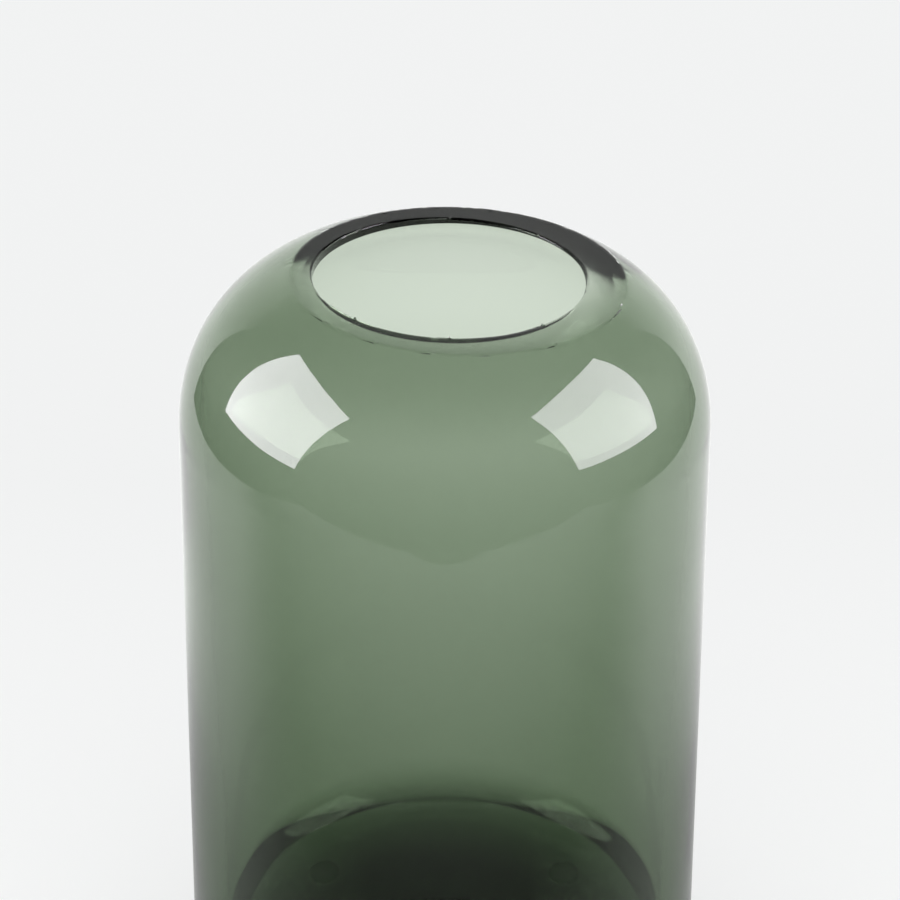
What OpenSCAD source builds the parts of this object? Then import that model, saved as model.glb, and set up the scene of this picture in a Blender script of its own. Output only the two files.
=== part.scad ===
// Heavy smoke-glass cylinder vase with a rounded shoulder, a narrow ground mouth and a thick base.
// It stands on four small stick-on bumpers. Millimetres, +Z up.
// Origin: on the table, under the middle of the vase. Front is -Y.

/* [Overall size] */
// Outside diameter of the straight body
body_d = 150; // [130:1:170]
// Height of the middle of the ground rim above the table
rim_h = 240; // [210:1:280]

/* [Glass thickness] */
// Wall at the mouth
wall_mouth = 4; // [3.5:0.1:6]
// Wall where the shoulder begins
wall_top = 5.5; // [4:0.5:7]
// Wall just above the floor of the cavity
wall_bottom = 9; // [7:0.5:11]
// Solid glass under the cavity
base_t = 22; // [14:1:26]

/* [Shoulder] */
// Height from the end of the straight body to the rim
shoulder_h = 45; // [40:1:50]
// Radius of the flat crown that the shoulder would run on to, above the rim
crown_r = 27.5; // [24:0.5:31]
// Squareness of the shoulder curve, where 2 is an ellipse
shoulder_power = 2.13; // [2:0.01:2.3]

/* [Mouth] */
// Inside diameter at the rim
mouth_d = 76; // [72:1:80]
// Width of the ground face of the rim
rim_w = 8.7; // [7:0.1:10]
// Fall of the hand-ground rim towards +X, in degrees from level
rim_fall = 1.8; // [0:0.1:2]

/* [Foot] */
// Rounding of the outer heel
heel_r = 12; // [8:1:14]
// Rounding where the wall meets the floor of the cavity
floor_r = 14; // [8:1:18]
// Radius of the ground-out pontil hollow
pontil_r = 26; // [20:1:30]
// Depth of the pontil hollow at its middle
pontil_depth = 3; // [2:0.5:4]

/* [Bumpers] */
// Diameter of one bumper
bumper_d = 10; // [8:0.5:12]
// Thickness of one bumper
bumper_h = 2; // [1.5:0.1:3]
// Distance from the edge of the flat foot to the middle of a bumper
bumper_inset = 7; // [6:0.5:10]

/* [Hidden] */
$fn = 128;

body_r = body_d / 2;
mouth_r = mouth_d / 2;
foot_z = bumper_h;
floor_z = foot_z + base_t;
shoulder_z = rim_h - shoulder_h;
shoulder_w = body_r - crown_r;
shoulder_k = 2 / shoulder_power;
// Angle at which the shoulder meets the rim, and the rise that its crown then has.
rim_angle = acos(pow((mouth_r + rim_w - crown_r) / shoulder_w, 1 / shoulder_k));
shoulder_rise = shoulder_h / pow(sin(rim_angle), shoulder_k);
inner_bottom_r = body_r - wall_bottom;
bumper_circle_r = body_r - heel_r - bumper_inset;

shoulder_steps = 24;
corner_steps = 8;
clearance_above_rim = 20;
bumper_edge = 0.6;

smoke = [0.36, 0.41, 0.35, 0.6];
clear_pad = [0.88, 0.89, 0.86, 0.7];

// Quarter-round corner from angle a0 to a1 about the point c, in the profile plane.
function corner(c, r, a0, a1) =
    [for (i = [0:corner_steps]) let (a = a0 + (a1 - a0) * i / corner_steps)
        c + r * [cos(a), sin(a)]];

// Outward direction on the shoulder at angle a, level at its foot and upright at its crown.
function shoulder_normal(a) =
    let (n = [shoulder_rise * pow(sin(a), shoulder_k - 2), shoulder_w * pow(cos(a), shoulder_k - 2)])
    a == 0 ? [1, 0] : a == 90 ? [0, 1] : n / norm(n);

// The shoulder as points, from the straight body up to its crown.
// It is set in by t0 at its foot and by t1 at its crown.
function shoulder(t0, t1) =
    [for (i = [0:shoulder_steps]) let (a = 90 * i / shoulder_steps, t = t0 + (t1 - t0) * i / shoulder_steps)
        [crown_r + shoulder_w * pow(cos(a), shoulder_k), shoulder_z + shoulder_rise * pow(sin(a), shoulder_k)]
        - t * shoulder_normal(a)];

// The vase before its bubble is cut open: heel, straight body and closed shoulder.
module outer_bubble() {
    curve = shoulder(0, 0);
    rotate_extrude()
        polygon(concat(
            [[0, foot_z]],
            corner([body_r - heel_r, foot_z + heel_r], heel_r, -90, 0),
            curve,
            [[0, curve[shoulder_steps].y]]));
}

// The air inside: flat floor, rounded corner, wall that thins upwards, shoulder that follows the outer one.
module inner_bubble() {
    curve = shoulder(wall_top, wall_mouth);
    rotate_extrude()
        polygon(concat(
            [[0, floor_z]],
            corner([inner_bottom_r - floor_r, floor_z + floor_r], floor_r, -90, 0),
            curve,
            [[0, curve[shoulder_steps].y]]));
}

// The short straight bore of the mouth, from the inner shoulder out through the rim.
module mouth_bore() {
    translate([0, 0, shoulder_z])
        cylinder(r = mouth_r, h = shoulder_h + clearance_above_rim);
}

// Everything above the rim, which the flat grinding takes away.
module above_rim() {
    translate([0, 0, rim_h])
        rotate([0, rim_fall, 0])
            translate([-body_d, -body_d, 0])
                cube([2 * body_d, 2 * body_d, clearance_above_rim]);
}

// Shallow round hollow that removes the pontil scar.
module pontil_hollow() {
    ball_r = (pontil_r * pontil_r + pontil_depth * pontil_depth) / (2 * pontil_depth);
    translate([0, 0, foot_z + pontil_depth - ball_r])
        sphere(r = ball_r);
}

// One thick-walled piece of mass-tinted glass.
module glass_body() {
    color(smoke)
        difference() {
            outer_bubble();
            inner_bubble();
            mouth_bore();
            above_rim();
            pontil_hollow();
        }
}

// A clear stick-on bumper at one corner. Its flat adhesive side is up, its edge is rounded off below.
module bumper(turn) {
    r = bumper_d / 2;
    color(clear_pad)
        rotate([0, 0, turn])
            translate([bumper_circle_r, 0, 0])
                rotate_extrude()
                    polygon(concat(
                        [[0, 0]],
                        corner([r - bumper_edge, bumper_edge], bumper_edge, -90, 0),
                        [[r, bumper_h], [0, bumper_h]]));
}

glass_body();
bumper(225);  // bumper_front_left
bumper(315);  // bumper_front_right
bumper(135);  // bumper_back_left
bumper(45);  // bumper_back_right
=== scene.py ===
# %% [markdown]
# # A heavy smoke-glass vase
#
# This lesson builds one object: a hand-blown cylinder vase with a thick wall, a rounded shoulder, a narrow
# mouth that was cut and ground flat, and a heavy base. Glass is the whole subject. It has almost no colour
# of its own on the surface. What the eye reads is the light that passes through it, bent by the shape of
# both its faces, and the light that its faces mirror. So the lesson spends its effort on three things: an
# exact wall, an absorption that belongs to the glass and not to its skin, and a studio that is worth
# mirroring.
#
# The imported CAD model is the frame. It is loaded first, and its box is kept. Every new piece stays inside it.

# %% Load the frame
import math
import random
import bpy
from mathutils import Matrix, Vector


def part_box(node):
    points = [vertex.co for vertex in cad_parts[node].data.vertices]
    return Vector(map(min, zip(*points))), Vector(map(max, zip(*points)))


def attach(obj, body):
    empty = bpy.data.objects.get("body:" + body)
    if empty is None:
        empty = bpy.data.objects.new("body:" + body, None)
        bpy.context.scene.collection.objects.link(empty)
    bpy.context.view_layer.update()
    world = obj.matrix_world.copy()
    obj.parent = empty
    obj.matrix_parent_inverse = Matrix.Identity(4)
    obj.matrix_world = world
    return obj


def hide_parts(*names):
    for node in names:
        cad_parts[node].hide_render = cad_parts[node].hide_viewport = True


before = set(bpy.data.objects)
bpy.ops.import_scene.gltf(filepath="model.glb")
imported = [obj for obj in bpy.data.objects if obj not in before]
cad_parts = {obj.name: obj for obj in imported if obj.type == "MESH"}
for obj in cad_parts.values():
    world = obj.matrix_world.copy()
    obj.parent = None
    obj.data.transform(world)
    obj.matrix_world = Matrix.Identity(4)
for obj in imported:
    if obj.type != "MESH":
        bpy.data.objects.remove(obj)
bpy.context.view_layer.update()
MM = 0.001
glass_low, glass_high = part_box("glass_body")

# %% [markdown]
# ## Small helpers
#
# A few helpers do the repeated work. One turns an sRGB hex colour into the linear numbers that a shader
# socket holds. One adds a node, and the next four build the small groups of nodes that the materials share.
# Two select things, because an operator acts on all that is selected.

# %% Colour and nodes
def linear(hex_colour):
    """An sRGB hex colour as a linear RGBA."""
    parts = [int(hex_colour[i:i + 2], 16) / 255 for i in (1, 3, 5)]
    return tuple(c / 12.92 if c <= 0.04045 else ((c + 0.055) / 1.055) ** 2.4 for c in parts) + (1.0,)


def add_node(tree, kind, settings=None, **links):
    """Adds a node. settings fill sockets or properties, links join sockets to other nodes' outputs."""
    node = tree.nodes.new(kind)
    for name, value in (settings or {}).items():
        if name in node.inputs:
            node.inputs[name].default_value = value
        else:
            setattr(node, name, value)
    for name, output in links.items():
        socket = int(name[1:]) if name[1:].isdigit() else name.replace("_", " ")
        tree.links.new(output, node.inputs[socket])
    return node


def new_material(name):
    """A node-based material, its tree and its Principled shader."""
    material = bpy.data.materials.new(name)
    material.use_nodes = True
    return material, material.node_tree, material.node_tree.nodes["Principled BSDF"]


def share_of(tree, value, start, stop, low=0.0, high=1.0, soft=False):
    """A value between low and high, while the input runs from start to stop."""
    settings = {"From Min": start, "From Max": stop, "To Min": low, "To Max": high}
    if soft:
        settings["interpolation_type"] = "SMOOTHSTEP"
    return add_node(tree, "ShaderNodeMapRange", settings, Value=value).outputs[0]


def combined(tree, operation, a, b):
    """Two values put together by a Math node."""
    return add_node(tree, "ShaderNodeMath", {"operation": operation}, _0=a, _1=b).outputs[0]


def noise(tree, place, size, detail):
    """Noise between 0 and 1 whose features are about this size in metres."""
    settings = {"Scale": 1.0 / size, "Detail": detail}
    return add_node(tree, "ShaderNodeTexNoise", settings, Vector=place).outputs["Fac"]


print("middle grey in linear light", round(linear("#808080")[0], 3))

# %% Selections
SMOOTH_BELOW = math.radians(30)


def only(*pieces):
    """Selects these pieces and nothing else."""
    bpy.ops.object.select_all(action="DESELECT")
    for piece in pieces:
        piece.select_set(True)
    bpy.context.view_layer.objects.active = pieces[-1]


def select_where(piece, kind, test):
    """Selects the vertices, edges or polygons that pass a test. The piece is in object mode."""
    mesh = piece.data
    for group in (mesh.vertices, mesh.edges, mesh.polygons):
        group.foreach_set("select", [False] * len(group))
    elements = getattr(mesh, kind)
    elements.foreach_set("select", [bool(test(e)) for e in elements])
    return sum(e.select for e in elements)


print("edges look smooth below", round(math.degrees(SMOOTH_BELOW)), "degrees")

# %% [markdown]
# ## The studio
#
# The vase stands on a white table between two square softboxes that lean over it. A white sheet as wide as
# the table hangs behind. In mirror reflections the rest of the room is dark, and that matters: where a glass
# face mirrors nothing, its body colour shows, and the edge of the table draws the long curve that makes the
# wall look round.
#
# The wide floor is matt paper, which the camera sees from every side. The small table top and the sheet are
# seen only in mirror reflections, so they are plain glowing surfaces. The back of the table catches most of
# the light. Its front lies in half shade, the vase throws a shade of its own round its foot, and the sheet
# gets dimmer towards its top.
#
# A camera film flattens its brightest whites, so paper seen past the vase looks hardly brighter than paper
# seen through it. The floor therefore glows a little more for rays that come through the glass, and the
# camera sees it a little brighter beside the vase and in front of it. Right under the vase it doesn't glow,
# because the base keeps the light off it.
#
# All these levels were found by trial, until the tones of the glass looked right. They describe a studio
# that gives those tones, and not one that was measured.

# %% Floor
PAPER_GREY = "#A9AAAA"
PAPER_GLOW = 0.51
GLOW_THROUGH_GLASS = 0.40
UNDER_VASE, VASE_EDGE = 45 * MM, 75 * MM
NEAR_Y, FAR_Y, NEAR_GLOW = 0.04, 0.32, 0.065
FLOOR_SIZE = 8.0


def stage_plane(name, size_x, size_y, place, material, turn_x=0.0):
    """A flat rectangle of the studio, not part of the vase."""
    bpy.ops.mesh.primitive_plane_add(size=1.0)
    plane = bpy.context.object
    plane.name = name
    plane.data.transform(Matrix.Diagonal((size_x, size_y, 1.0, 1.0)))
    plane.data.transform(Matrix.Rotation(turn_x, 4, "X"))
    plane.data.transform(Matrix.Translation(place))
    plane.data.materials.append(material)
    return plane


def floor_paper():
    """Matt paper whose glow keeps the shadow beside the vase faint. Under the vase it doesn't glow."""
    material, tree, shader = new_material("studio_paper")
    shader.inputs["Base Color"].default_value = linear(PAPER_GREY)
    shader.inputs["Roughness"].default_value = 1.0
    shader.inputs["Specular IOR Level"].default_value = 0.0
    shader.inputs["Emission Color"].default_value = linear("#FFFFFF")
    ray = add_node(tree, "ShaderNodeLightPath")
    glow = add_node(tree, "ShaderNodeMath", {"operation": "MULTIPLY_ADD"},
                    _0=ray.outputs["Is Transmission Ray"])
    glow.inputs[1].default_value = GLOW_THROUGH_GLASS
    glow.inputs[2].default_value = PAPER_GLOW
    place = add_node(tree, "ShaderNodeTexCoord").outputs["Object"]
    depth = add_node(tree, "ShaderNodeSeparateXYZ", Vector=place).outputs["Y"]
    near = share_of(tree, depth, NEAR_Y, FAR_Y, NEAR_GLOW, 0.0)
    seen_near = combined(tree, "MULTIPLY", near, ray.outputs["Is Camera Ray"])
    more = combined(tree, "ADD", seen_near, glow.outputs[0])
    off_axis = add_node(tree, "ShaderNodeVectorMath", {"operation": "LENGTH"}, _0=place).outputs["Value"]
    open_air = share_of(tree, off_axis, UNDER_VASE, VASE_EDGE, soft=True)
    tree.links.new(combined(tree, "MULTIPLY", more, open_air), shader.inputs["Emission Strength"])
    material.cycles.emission_sampling = "NONE"
    return material


floor = stage_plane("floor", FLOOR_SIZE, FLOOR_SIZE, (0, 0, 0), floor_paper())
floor.visible_glossy = False
print("floor", FLOOR_SIZE, "metres wide")

# %% Table top and sheet, for mirrors only
TABLE_FRONT, TABLE_BACK = -0.41, 0.60
TABLE_HALF_WIDTH = 0.65
SHEET_HEIGHT = 0.70
LAYER_GAP = 0.2 * MM
PAPER_WHITE = "#FAFCFA"
FRONT_EDGE_GLOW, HALF_SHADE_GLOW, LIT_GLOW = 0.62, 0.25, 1.25
HALF_SHADE_Y, LIT_Y = -0.16, 0.03
SHEET_FADE_LOW, SHEET_TOP_GLOW = 0.18, 0.05
SHADE_CORE, SHADE_EDGE, SHADE_GLOW = 0.13, 0.31, 0.45


def glowing_material(name, colour, strength_of):
    """A plain glowing surface, whose strength comes from a function of the tree and the place."""
    material, tree, shader = new_material(name)
    tree.nodes.remove(shader)
    place = add_node(tree, "ShaderNodeTexCoord").outputs["Object"]
    glow = add_node(tree, "ShaderNodeEmission", {"Color": linear(colour)}, Strength=strength_of(tree, place))
    tree.links.new(glow.outputs[0], tree.nodes["Material Output"].inputs["Surface"])
    material.cycles.emission_sampling = "NONE"
    return material


def table_strength(tree, place):
    """Brightest at the back of the table, and dim up the sheet and in the vase's shade."""
    axes = add_node(tree, "ShaderNodeSeparateXYZ", Vector=place)
    depth, height = axes.outputs["Y"], axes.outputs["Z"]
    shade = share_of(tree, depth, TABLE_FRONT, HALF_SHADE_Y, FRONT_EDGE_GLOW, HALF_SHADE_GLOW)
    lift = share_of(tree, depth, HALF_SHADE_Y, LIT_Y, 0.0, LIT_GLOW - HALF_SHADE_GLOW, soft=True)
    level = combined(tree, "ADD", shade, lift)
    fade = share_of(tree, height, SHEET_FADE_LOW, SHEET_HEIGHT, 1.0, SHEET_TOP_GLOW)
    off_axis = add_node(tree, "ShaderNodeVectorMath", {"operation": "LENGTH"}, _0=place).outputs["Value"]
    shaded = share_of(tree, off_axis, SHADE_CORE, SHADE_EDGE, SHADE_GLOW, 1.0, soft=True)
    return combined(tree, "MULTIPLY", combined(tree, "MULTIPLY", level, fade), shaded)


def seen_only(thing, in_mirrors=False, through_glass=False):
    """Hides a thing from all rays but those that a glossy surface, or a clear one, sends on."""
    thing.visible_camera = False
    thing.visible_diffuse = False
    thing.visible_glossy = in_mirrors
    thing.visible_transmission = through_glass
    thing.visible_shadow = False
    thing.visible_volume_scatter = False


table_paper = glowing_material("mirror_paper", PAPER_WHITE, table_strength)
table_middle = (TABLE_BACK + TABLE_FRONT) / 2
table = stage_plane("table_top", 2 * TABLE_HALF_WIDTH, TABLE_BACK - TABLE_FRONT,
                    (0, table_middle, LAYER_GAP), table_paper)
sheet = stage_plane("white_sheet", 2 * TABLE_HALF_WIDTH, SHEET_HEIGHT,
                    (0, TABLE_BACK, SHEET_HEIGHT / 2), table_paper, math.radians(90))
seen_only(table, in_mirrors=True)
seen_only(sheet, in_mirrors=True)
print("mirrored pieces:", table.name, sheet.name)

# %% [markdown]
# The flat floor of the cavity mirrors what stands behind the table, seen out through the back wall. In a
# bright room that would turn the heavy base grey. A dim patch with a soft edge hangs there, and only rays
# that come through glass see it. At its edge it is as bright as the room. No studio needs such a patch: it
# stands in for whatever was dim behind the table, and its place and level were found by trial, until the
# base came out black.

# %% Dim patch
DIM_GLOW, DIM_CORE, DIM_EDGE = 0.45, 0.08, 0.22
BEHIND_SHEET, DIM_HEIGHT = 20 * MM, 0.37
DIM_PLACE = Vector((0, TABLE_BACK + BEHIND_SHEET, DIM_HEIGHT))
ROOM_TINT = "#FBFCFC"
ROOM_THROUGH_GLASS = 1.30


def dim_strength(tree, place):
    """As bright as the room at its edge, and dim in the middle."""
    span = add_node(tree, "ShaderNodeVectorMath", {"operation": "DISTANCE"}, _0=place)
    span.inputs[1].default_value = DIM_PLACE
    off_middle = span.outputs["Value"]
    return share_of(tree, off_middle, DIM_CORE, DIM_EDGE, DIM_GLOW, ROOM_THROUGH_GLASS, soft=True)


dim = glowing_material("dim_patch", ROOM_TINT, dim_strength)
patch = stage_plane("dim_patch", 2 * DIM_EDGE, 2 * DIM_EDGE, DIM_PLACE, dim, math.radians(90))
seen_only(patch, through_glass=True)
print("patch at", [round(v, 2) for v in DIM_PLACE])

# %% Softboxes
SOFTBOX_SIDE = 0.80
LEFT_POWER, RIGHT_POWER = 19.4, 15.2
SOFTBOX_TINT = "#FCF6FF"
SOFTBOX_TILT = 27.0
LEFT_PLACE, RIGHT_PLACE = (-0.82, -0.115, 0.60), (0.80, -0.19, 0.62)
LEFT_TURN, RIGHT_TURN = -90.0, 90.0
LEFT_ROLL, RIGHT_ROLL = 0.0, -8.0


def softbox(name, power, centre, turn_z, roll):
    """A square area light that faces the vase and leans over it."""
    lamp = bpy.data.lights.new(name, "AREA")
    lamp.shape = "SQUARE"
    lamp.size = SOFTBOX_SIDE
    lamp.energy = power
    lamp.color = linear(SOFTBOX_TINT)[:3]
    thing = bpy.data.objects.new(name, lamp)
    bpy.context.scene.collection.objects.link(thing)
    lean = Matrix.Rotation(math.radians(90 - SOFTBOX_TILT), 4, "X")
    turn = Matrix.Rotation(math.radians(turn_z), 4, "Z")
    rolled = Matrix.Rotation(math.radians(roll), 4, "Z")
    thing.matrix_world = Matrix.Translation(centre) @ turn @ lean @ rolled
    thing.visible_camera = False
    thing.visible_diffuse = False
    return thing


left = softbox("softbox_left", LEFT_POWER, LEFT_PLACE, LEFT_TURN, LEFT_ROLL)
right = softbox("softbox_right", RIGHT_POWER, RIGHT_PLACE, RIGHT_TURN, RIGHT_ROLL)
print("lamps:", left.name, right.name)

# %% The air of the room
# Brightness of the room for each kind of ray. Paper and camera see a bright room, mirrors a dark one.
ROOM_SEEN = 0.93
ROOM_LIGHTS_PAPER = 0.98
ROOM_IN_MIRRORS = 0.03

world = bpy.data.worlds.new("studio_air")
bpy.context.scene.world = world
world.use_nodes = True
air = world.node_tree
air.nodes.clear()
ray = add_node(air, "ShaderNodeLightPath")
brightness = None
for kind, level in (("Is Camera Ray", ROOM_SEEN), ("Is Diffuse Ray", ROOM_LIGHTS_PAPER),
                    ("Is Transmission Ray", ROOM_THROUGH_GLASS), ("Is Glossy Ray", ROOM_IN_MIRRORS)):
    part = add_node(air, "ShaderNodeMath", {"operation": "MULTIPLY_ADD"}, _0=ray.outputs[kind])
    part.inputs[1].default_value = level
    part.inputs[2].default_value = 0.0
    if brightness:
        air.links.new(brightness.outputs[0], part.inputs[2])
    brightness = part
room = add_node(air, "ShaderNodeBackground", {"Color": linear(ROOM_TINT)}, Strength=brightness.outputs[0])
add_node(air, "ShaderNodeOutputWorld", Surface=room.outputs[0])
bpy.context.scene.view_settings.view_transform = "Standard"
print("room levels", ROOM_SEEN, ROOM_LIGHTS_PAPER, ROOM_THROUGH_GLASS, ROOM_IN_MIRRORS)

# %% Camera
# A long lens about a metre away, looking down at the shoulder, a touch off level.
LENS = 152.8
CAMERA_PITCH = 28.33
CAMERA_ROLL = 0.30
CAMERA_RANGE = 1.0835
AIM = Vector((0.0015, 0.0, 0.1857))
pitch = math.radians(CAMERA_PITCH)
camera_data = bpy.data.cameras.new("camera")
camera_data.lens = LENS
camera = bpy.data.objects.new("camera", camera_data)
bpy.context.scene.collection.objects.link(camera)
back_up = Vector((0, -math.cos(pitch), math.sin(pitch)))
tip = Matrix.Rotation(math.radians(90) - pitch, 4, "X")
roll = Matrix.Rotation(math.radians(CAMERA_ROLL), 4, "Z")
camera.matrix_world = Matrix.Translation(AIM + CAMERA_RANGE * back_up) @ tip @ roll
bpy.context.scene.camera = camera
print("camera at", [round(v, 4) for v in camera.location])

# %% [markdown]
# ## The glass body
#
# A glassblower makes a round bubble, and then the glass is what lies between its outside and the air in it.
# The model is made the same way: one closed shape for the outside, one for the air. Both are turned shapes,
# so each is half an outline, drawn as one vertex that is extruded from point to point, and then spun.
#
# The shoulder is not a quarter circle. It stays full for longer and then flattens towards the mouth, which
# a superellipse says with one exponent. The inner face follows the outer one at the thickness of the wall,
# down to a short straight bore in the mouth. Down the body the wall thickens, because hot glass sinks.

# %% Sizes of the wall
body_r = (glass_high.x - glass_low.x) / 2
foot_z = glass_low.z
rim_z = 240.0 * MM
shoulder_h = 45.0 * MM
shoulder_z = rim_z - shoulder_h
SHOULDER_POWER = 2.13
wall_mouth, wall_top, wall_bottom = 4.0 * MM, 5.5 * MM, 9.0 * MM
floor_z = foot_z + 22.0 * MM
heel_r, corner_r = 12.0 * MM, 14.0 * MM
pontil_r, pontil_depth = 26.0 * MM, 3.0 * MM
rim_outer_r, rim_inner_r = 46.7 * MM, 38.0 * MM
crown_r = 27.5 * MM
SHOULDER_STEPS, CORNER_STEPS, HOLLOW_STEPS, FLAT_STEPS = 56, 20, 12, 6
OUTER_WALL_STEPS, INNER_WALL_STEPS = 24, 40


def arc(centre_r, centre_z, radius, start, stop, steps):
    """Points on a round corner, in degrees from the +r direction."""
    turns = [math.radians(start + (stop - start) * i / steps) for i in range(steps + 1)]
    return [(centre_r + radius * math.cos(t), centre_z + radius * math.sin(t)) for t in turns]


def straight(a, b, steps):
    """Points between a and b, without either end."""
    return [(a[0] + (b[0] - a[0]) * i / steps, a[1] + (b[1] - a[1]) * i / steps) for i in range(1, steps)]


def shoulder(steps, thickness=lambda share: 0.0):
    """Points up the shoulder, set in by a thickness that may change from its foot (0) to its crown (1)."""
    k = 2 / SHOULDER_POWER
    width = body_r - crown_r
    at_rim = math.acos(((rim_outer_r - crown_r) / width) ** (1 / k))
    rise = shoulder_h / math.sin(at_rim) ** k
    points = [(body_r - thickness(0), shoulder_z)]
    for i in range(1, steps):
        t = math.radians(90 * i / steps)
        out = Vector((rise * math.sin(t) ** (k - 2), 0, width * math.cos(t) ** (k - 2))).normalized()
        set_in = thickness(i / steps)
        points.append((crown_r + width * math.cos(t) ** k - set_in * out.x,
                       shoulder_z + rise * math.sin(t) ** k - set_in * out.z))
    return points


def spun(name, half, steps):
    """A piece made from half an outline in the plane y = 0, turned round the axis."""
    bpy.ops.object.select_all(action="DESELECT")
    bpy.ops.mesh.primitive_plane_add(size=1.0)
    piece = bpy.context.object
    piece.name = name
    half = [Vector((r, 0.0, z)) for r, z in half]
    bpy.ops.object.mode_set(mode="EDIT")
    bpy.ops.mesh.select_mode(type="VERT")
    bpy.ops.mesh.merge(type="CENTER")
    bpy.ops.transform.translate(value=half[0])
    for here, there in zip(half, half[1:]):
        bpy.ops.mesh.extrude_vertices_move(TRANSFORM_OT_translate={"value": there - here})
    bpy.ops.mesh.select_all(action="SELECT")
    bpy.ops.mesh.spin(steps=steps, angle=math.tau, center=(0, 0, 0), axis=(0, 0, 1))
    bpy.ops.mesh.select_all(action="SELECT")
    bpy.ops.mesh.remove_doubles(threshold=MERGE)
    bpy.ops.mesh.normals_make_consistent(inside=False)
    bpy.ops.object.mode_set(mode="OBJECT")
    return piece


# %% The outside
MERGE = 0.01 * MM
SPIN_STEPS = 288
ball_r = (pontil_r ** 2 + pontil_depth ** 2) / (2 * pontil_depth)
pontil_span = math.degrees(math.asin(pontil_r / ball_r))
hollow = arc(0, foot_z + pontil_depth - ball_r, ball_r, 90, 90 - pontil_span, HOLLOW_STEPS)
heel = arc(body_r - heel_r, foot_z + heel_r, heel_r, -90, 0, CORNER_STEPS)
outside = shoulder(SHOULDER_STEPS)
glass = spun("vase_glass", hollow + straight(hollow[-1], heel[0], FLAT_STEPS) + heel
             + straight(heel[-1], outside[0], OUTER_WALL_STEPS) + outside, SPIN_STEPS)
print("outside faces", len(glass.data.polygons))

# %% The air inside
FALL_TO_BORE = 0.4
BORE_OVER_RIM = 3.0 * MM


def wall_at(share):
    """Wall thickness from the foot of the shoulder (0) to its crown (1)."""
    return wall_top + (wall_mouth - wall_top) * share


corner = arc(body_r - wall_bottom - corner_r, floor_z + corner_r, corner_r, -90, 0, CORNER_STEPS)
inside = [p for p in shoulder(SHOULDER_STEPS, wall_at) if p[0] > rim_inner_r]
bore_z = inside[-1][1] + (inside[-1][0] - rim_inner_r) * FALL_TO_BORE
bore_low, bore_high = (rim_inner_r, bore_z), (rim_inner_r, rim_z + BORE_OVER_RIM)
bore = [bore_low] + straight(bore_low, bore_high, FLAT_STEPS) + [bore_high]
floor_middle = (0, floor_z)
bubble = spun("air_bubble", [floor_middle] + straight(floor_middle, corner[0], FLAT_STEPS) + corner
              + straight(corner[-1], inside[0], INNER_WALL_STEPS) + inside + bore, SPIN_STEPS)
print("bore depth mm", round((rim_z - bore_z) / MM, 2))

# %% [markdown]
# No blown bubble is quite centred. Here the air lies a little towards the back, so the front wall is
# thicker than the back one, and the mouth was opened a little further back and to the right still. The
# whole bubble is moved, and then its bore with proportional editing, which carries its neighbours along.

# %% Off-centre air
BUBBLE_DRIFT = Vector((0.3 * MM, 0.65 * MM, 0))
BORE_DRIFT = Vector((0.6 * MM, 0.5 * MM, 0))
DRIFT_REACH = 22.0 * MM
bubble.data.transform(Matrix.Translation(BUBBLE_DRIFT))
select_where(bubble, "vertices", lambda v: v.co.z > bore_z - MERGE)
bpy.ops.object.mode_set(mode="EDIT")
bpy.ops.transform.translate(value=BORE_DRIFT, use_proportional_edit=True, proportional_edit_falloff="SMOOTH",
                            proportional_size=DRIFT_REACH)
bpy.ops.mesh.select_all(action="SELECT")
bpy.ops.mesh.flip_normals()
bpy.ops.object.mode_set(mode="OBJECT")
print("bubble turned inside out, faces", len(bubble.data.polygons))

# %% [markdown]
# The gob also sagged before it was opened, so the glass of the front shoulder is heavier near the mouth. A
# Displace modifier without a texture lowers the inner face there, and leaves the outer one. A vertex group
# says where: full strength at the front of the mouth, none at the back and none below the shoulder.

# %% Heavier front shoulder
SAG = 3.0 * MM
SAG_LOW, SAG_HIGH = 213.0 * MM, 233.0 * MM
SAG_BACK, SAG_FRONT = 12.0 * MM, -30.0 * MM
MOUTH_EDGE = 1.0 * MM


def ramp(value, start, stop):
    """0 at start and 1 at stop, with soft ends."""
    share = min(1.0, max(0.0, (value - start) / (stop - start)))
    return share * share * (3 - 2 * share)


front = bubble.vertex_groups.new(name="front_shoulder")
for v in bubble.data.vertices:
    share = ramp(v.co.z, SAG_LOW, SAG_HIGH) * ramp(v.co.y, SAG_BACK, SAG_FRONT)
    if share > 0 and v.co.z < rim_z - MOUTH_EDGE:
        front.add([v.index], share, "REPLACE")
sag = bubble.modifiers.new("sag", "DISPLACE")
sag.direction = "Z"
sag.mid_level = 0.0
sag.strength = -SAG
sag.vertex_group = front.name
only(bubble)
bpy.ops.object.modifier_apply(modifier=sag.name)
print("lowered the inner face of the front shoulder by mm", SAG / MM)

# %% [markdown]
# ## Cutting and grinding the mouth
#
# The real mouth is sawn off and ground on a flat wheel by hand, so it isn't quite level: it falls by nearly
# two degrees towards +X, and because the shoulder slopes, the ring is wider on that side. A Bisect with
# the tilted plane opens both shapes in the same way. Joined, they have two open loops, and Bridge closes the
# wall between them with the flat ground face. The cut is a tenth of a millimetre low, so that nothing
# reaches past the box of the CAD model.
#
# A knife-sharp edge would crack, so the maker takes it off with a touch of the wheel. That narrow facet,
# the arris, is a Bevel on the two loops.

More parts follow.
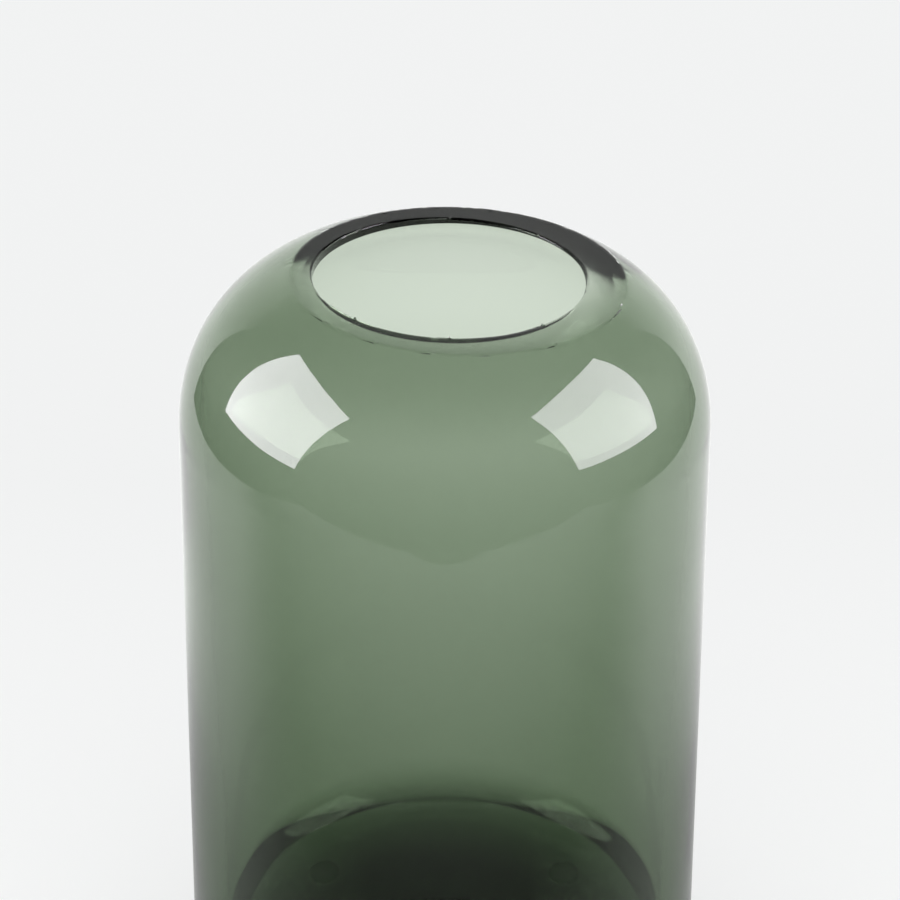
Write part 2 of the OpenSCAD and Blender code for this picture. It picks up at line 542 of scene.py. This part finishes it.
# %% Cut the mouth
RIM_FALL = 1.8
RIM_CUTS = 8
CUT_ALLOWANCE = 0.12 * MM
rim_point = Vector((0, 0, rim_z - CUT_ALLOWANCE))
rim_normal = Vector((math.sin(math.radians(RIM_FALL)), 0, math.cos(math.radians(RIM_FALL))))
for piece in (glass, bubble):
    only(piece)
    bpy.ops.object.mode_set(mode="EDIT")
    bpy.ops.mesh.select_all(action="SELECT")
    bpy.ops.mesh.bisect(plane_co=rim_point, plane_no=rim_normal, clear_outer=True, threshold=MERGE / 10)
    bpy.ops.object.mode_set(mode="OBJECT")
only(bubble, glass)
bpy.ops.object.join()
bpy.ops.object.mode_set(mode="EDIT")
bpy.ops.mesh.select_all(action="DESELECT")
bpy.ops.mesh.select_mode(type="EDGE")
bpy.ops.mesh.select_non_manifold()
bpy.ops.mesh.bridge_edge_loops(number_cuts=RIM_CUTS, interpolation="LINEAR")
bpy.ops.mesh.select_all(action="SELECT")
bpy.ops.mesh.normals_make_consistent(inside=False)
bpy.ops.object.mode_set(mode="OBJECT")


def above_rim(point):
    """Height of a point over the tilted plane of the rim."""
    return (Vector(point) - rim_point).dot(rim_normal)


def on_rim(face):
    return abs(above_rim(face.center)) < MERGE


print("rim faces", select_where(glass, "polygons", on_rim))

# %% Arris
ARRIS = 0.45 * MM
bpy.ops.object.mode_set(mode="EDIT")
bpy.ops.mesh.region_to_loop()
bpy.ops.mesh.bevel(offset=ARRIS, segments=2, affect="EDGES")
bpy.ops.object.mode_set(mode="OBJECT")
print("faces after the arris", len(glass.data.polygons))

# %% [markdown]
# ## Waves and seeds
#
# Blown glass is never quite even. The outside was turned in a wet wooden block and is smooth, but the
# inside only ever touched air, so the wall swells and thins a little. A Displace modifier with a soft
# clouds texture moves the inner face alone, by at most a quarter of a millimetre either way.
#
# Small gas bubbles, which makers call seeds, stay in the melt. Each one is a tiny stretched sphere whose
# faces point into the bubble, away from the glass, and is part of the same mesh.

# %% Uneven inner face
WAVE_SIZE = 46.0 * MM
WAVE_DEPTH = 0.45 * MM
WALL_PLAY = 0.2 * MM


def on_inner_face(v):
    """True for the floor and the wall of the cavity below the shoulder."""
    wall_here = wall_bottom + (wall_top - wall_bottom) * (v.co.z - floor_z) / (shoulder_z - floor_z)
    inner_r = body_r - wall_here + WALL_PLAY
    return floor_z - MERGE < v.co.z < shoulder_z and math.hypot(v.co.x, v.co.y) < inner_r


inner_points = [v.index for v in glass.data.vertices if on_inner_face(v)]
waves = glass.vertex_groups.new(name="inner_face")
for index in inner_points:
    height = glass.data.vertices[index].co.z
    fade = min(1.0, max(0.0, (shoulder_z - height) / WAVE_SIZE))
    waves.add([index], fade, "REPLACE")
clouds = bpy.data.textures.new("blow_waves", "CLOUDS")
clouds.noise_scale = WAVE_SIZE
clouds.noise_depth = 0
uneven = glass.modifiers.new("uneven", "DISPLACE")
uneven.texture = clouds
uneven.texture_coords = "LOCAL"
uneven.vertex_group = waves.name
uneven.strength = WAVE_DEPTH
only(glass)
bpy.ops.object.modifier_apply(modifier=uneven.name)
glass.vertex_groups.clear()
print("inner points", len(inner_points))

# %% Seeds
SEEDS = 12
SEED_SIZES = 0.16, 0.34
SEED_DEPTHS = 1.2, 3.6
SEED_WIDTH = 0.8
SEED_STRETCH = 1.2, 2.0
SEED_LOWEST = floor_z + 30 * MM
dice = random.Random(7)
seeds = []
for number in range(SEEDS):
    turn = dice.uniform(0, math.tau)
    height = dice.uniform(SEED_LOWEST, shoulder_z)
    size = dice.uniform(*SEED_SIZES) * MM
    depth = body_r - dice.uniform(*SEED_DEPTHS) * MM
    place = (depth * math.cos(turn), depth * math.sin(turn), height)
    bpy.ops.mesh.primitive_ico_sphere_add(subdivisions=2, radius=size)
    seed = bpy.context.object
    bpy.ops.object.mode_set(mode="EDIT")
    bpy.ops.transform.resize(value=(SEED_WIDTH, SEED_WIDTH, dice.uniform(*SEED_STRETCH)))
    bpy.ops.transform.translate(value=place)
    bpy.ops.mesh.flip_normals()
    bpy.ops.object.mode_set(mode="OBJECT")
    seeds.append(seed)
only(*seeds, glass)
bpy.ops.object.join()
print("faces with seeds", len(glass.data.polygons))

# %% [markdown]
# ## Smoke glass
#
# Such glass is soda-lime, coloured in the mass, for instance with iron and a little manganese. It is one
# material all the way through, so its colour is an absorption inside the mesh, given per metre, and the skin
# stays colourless. Thin glass then looks pale grey-green, and the heavy base goes nearly black over the dark
# floor under it. Its index of refraction is 1.52.
#
# Its skin is fire-polished: as smooth as glass can be, apart from faint smears of handling that only show
# where they cross a highlight, and a long shallow ripple.

# %% Figures for the glass
GLASS_IOR = 1.52
SMOKE_COLOUR = "#7E9C6F"
SMOKE_DENSITY = 165.0
RIPPLE_SIZE, RIPPLE_DETAIL = 34.0 * MM, 1.0
RIPPLE_BUMP = {"Strength": 0.5, "Distance": 0.10 * MM}
SMEAR_SIZE, SMEAR_DETAIL = 22.0 * MM, 4.0
SMEAR_ROUGH = 0.04
SMEAR_LEVELS = 0.55, 0.80
print("absorption per metre", SMOKE_DENSITY)

# %% [markdown]
# The rim and the flat of the foot were ground on a wheel and polished back to a soft satin. Grinding takes
# nothing from the mass: the same glass lies under a skin of tiny pits. So this is not a second material but
# a mask in the same one. Two materials were tried, with an absorption in each, and gave a ring without any
# green in it. The mask is one on the plane of the rim and on the foot, and fades over the arris. Pits from
# the finest grit are a few hundredths of a millimetre; they are drawn ten times coarser, so that they show.

# %% Ground places
GRIT_SIZE, GRIT_DETAIL = 0.45 * MM, 3.0
GRIT_BUMP = {"Strength": 0.25, "Distance": 0.02 * MM}
PATCH_SIZE, PATCH_DETAIL = 3.0 * MM, 3.0
GROUND_FADE = 0.30 * MM
GROUND_PLAY = 0.05 * MM
GROUND_ROUGH = 0.15, 0.25
PATCH_LEVELS = 0.35, 0.70


def ground_share(tree, place):
    """One on the rim and on the flat foot, zero elsewhere, with a soft edge."""
    along = add_node(tree, "ShaderNodeVectorMath", {"operation": "DOT_PRODUCT"}, _0=place)
    along.inputs[1].default_value = rim_normal
    rim_level = rim_point.dot(rim_normal)
    rim = share_of(tree, along.outputs["Value"], rim_level - GROUND_FADE, rim_level - GROUND_PLAY)
    height = add_node(tree, "ShaderNodeSeparateXYZ", Vector=place).outputs["Z"]
    foot = share_of(tree, height, foot_z + GROUND_PLAY, foot_z + GROUND_FADE, 1.0, 0.0)
    return combined(tree, "MAXIMUM", rim, foot)


print("satin fades over mm", round(GROUND_FADE / MM, 2))

# %% Smoke glass
def smoke_glass():
    """Coloured mass under a fire-polished skin, with a satin skin where it was ground."""
    material, tree, shader = new_material("smoke_glass")
    shader.inputs["Base Color"].default_value = linear("#FFFFFF")
    shader.inputs["IOR"].default_value = GLASS_IOR
    shader.inputs["Transmission Weight"].default_value = 1.0
    mass = add_node(tree, "ShaderNodeVolumeAbsorption",
                    {"Color": linear(SMOKE_COLOUR), "Density": SMOKE_DENSITY})
    tree.links.new(mass.outputs[0], tree.nodes["Material Output"].inputs["Volume"])
    place = add_node(tree, "ShaderNodeTexCoord").outputs["Object"]
    ground = ground_share(tree, place)
    smears = share_of(tree, noise(tree, place, SMEAR_SIZE, SMEAR_DETAIL), *SMEAR_LEVELS, 0.0, SMEAR_ROUGH)
    satin = share_of(tree, noise(tree, place, PATCH_SIZE, PATCH_DETAIL), *PATCH_LEVELS, *GROUND_ROUGH)
    skin = add_node(tree, "ShaderNodeMix", {"data_type": "FLOAT"}, _0=ground, _2=smears, _3=satin)
    tree.links.new(skin.outputs[0], shader.inputs["Roughness"])
    ripple = add_node(tree, "ShaderNodeBump", RIPPLE_BUMP,
                      Height=noise(tree, place, RIPPLE_SIZE, RIPPLE_DETAIL))
    pits = combined(tree, "MULTIPLY", noise(tree, place, GRIT_SIZE, GRIT_DETAIL), ground)
    grit = add_node(tree, "ShaderNodeBump", GRIT_BUMP, Height=pits, Normal=ripple.outputs[0])
    tree.links.new(grit.outputs[0], shader.inputs["Normal"])
    return material


glass.data.materials.append(smoke_glass())
only(glass)
bpy.ops.object.shade_smooth_by_angle(angle=SMOOTH_BELOW)
print("materials on the glass", len(glass.data.materials))

# %% [markdown]
# ## Chips in the arris
#
# The wheel and years of use leave tiny bites along the arris. Each chip moves the few points around one
# spot of either edge into the glass. A bite is shallower than the fade of the satin mask, so a chip next to
# the flat face stays mostly satin.

# %% Chips
CHIPS = 64
CHIP_REACH = 0.9 * MM
CHIP_BITES = 0.03 * MM, 0.11 * MM
CHIP_INWARDS = 0.8
RING_DEPTH = 0.6 * MM
mouth_middle_r = (rim_outer_r + rim_inner_r) / 2
ring = [v.index for v in glass.data.vertices if -RING_DEPTH < above_rim(v.co) < -MERGE]
select_where(glass, "vertices", lambda v: False)
for chip in range(CHIPS):
    points = glass.data.vertices
    spot = points[dice.choice(ring)].co.copy()
    bite = dice.uniform(*CHIP_BITES)
    inwards = Vector((-spot.x, -spot.y, 0)).normalized()
    if math.hypot(spot.x, spot.y) < mouth_middle_r:
        inwards = -inwards
    for index in ring:
        points[index].select = (points[index].co - spot).length < CHIP_REACH
    bpy.ops.object.mode_set(mode="EDIT")
    bpy.ops.transform.translate(value=bite * (CHIP_INWARDS * inwards - rim_normal))
    bpy.ops.object.mode_set(mode="OBJECT")
print("chips", CHIPS, "in a ring of", len(ring), "points")

# %% Hand the glass to the frame
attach(glass, "root")
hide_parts("glass_body")
print(glass.name, "stands for glass_body")

# %% [markdown]
# ## Stick-on bumpers
#
# Heavy glass scratches a table, so this model stands on four clear polyurethane bumpers. They are a guess,
# because the foot of the real vase isn't known, and the glass is complete without them. One bumper is a low
# button: a flat adhesive face on top, a rounded edge, and a slightly hollow face below where the moulded
# drop shrank. It is drawn once as a half outline, spun, and copied to the four corners. A hair of air is
# left over it, as thick as its glue film, because two clear faces in one place can't be told apart.

# %% One bumper
BUMPER_R = 5.0 * MM
BUMPER_EDGE = 0.9 * MM
BUMPER_DIMPLE = 0.12 * MM
BUMPER_TOP_EDGE = 0.15 * MM
GLUE_FILM = 0.04 * MM
BUMPER_STEPS, BUMPER_EDGE_STEPS = 48, 8
bumper_top = foot_z - GLUE_FILM
edge = arc(BUMPER_R - BUMPER_EDGE, BUMPER_EDGE, BUMPER_EDGE, -90, 0, BUMPER_EDGE_STEPS)
dimple = (0, BUMPER_DIMPLE)
top = [(BUMPER_R, bumper_top - BUMPER_TOP_EDGE), (BUMPER_R - BUMPER_TOP_EDGE, bumper_top), (0, bumper_top)]
button = [dimple] + straight(dimple, edge[0], FLAT_STEPS) + edge + top
print("bumper outline points", len(button))

# %% [markdown]
# The bumper is cast polyurethane, water clear, with an index of refraction of 1.50. It is softer and duller
# than glass, and after a while it holds fine dust and scuffs from the table.

# %% Clear polyurethane
POLYURETHANE_IOR = 1.50
SCUFF_SIZE, SCUFF_DETAIL = 1.6 * MM, 5.0
SCUFF_LEVELS, SCUFF_ROUGH = (0.4, 0.7), (0.06, 0.3)
SCUFF_BUMP = {"Strength": 0.2, "Distance": 0.02 * MM}
CLEAN_TINT, DUSTY_TINT = linear("#FBFBF8"), linear("#E9EAE2")


def clear_polyurethane():
    """Cast clear polyurethane with table scuffs."""
    material, tree, shader = new_material("clear_polyurethane")
    shader.inputs["IOR"].default_value = POLYURETHANE_IOR
    shader.inputs["Transmission Weight"].default_value = 1.0
    place = add_node(tree, "ShaderNodeTexCoord").outputs["Object"]
    scuff = noise(tree, place, SCUFF_SIZE, SCUFF_DETAIL)
    dull = share_of(tree, scuff, *SCUFF_LEVELS, *SCUFF_ROUGH)
    tint = add_node(tree, "ShaderNodeMix", {"data_type": "RGBA", "A": CLEAN_TINT, "B": DUSTY_TINT},
                    Factor=scuff)
    tree.links.new(dull, shader.inputs["Roughness"])
    tree.links.new(tint.outputs["Result"], shader.inputs["Base Color"])
    bump = add_node(tree, "ShaderNodeBump", SCUFF_BUMP, Height=scuff)
    tree.links.new(bump.outputs[0], shader.inputs["Normal"])
    return material


polyurethane = clear_polyurethane()
print("bumper material", polyurethane.name)

# %% Four bumpers
for corner_name in ("front_left", "front_right", "back_left", "back_right"):
    node_name = "bumper_" + corner_name
    low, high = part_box(node_name)
    pad = spun("clear_" + node_name, button, BUMPER_STEPS)
    pad.data.transform(Matrix.Translation(((low.x + high.x) / 2, (low.y + high.y) / 2, 0)))
    pad.data.materials.append(polyurethane)
    only(pad)
    bpy.ops.object.shade_smooth_by_angle(angle=SMOOTH_BELOW)
    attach(pad, "root")
    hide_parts(node_name)
    print(pad.name, "faces", len(pad.data.polygons))
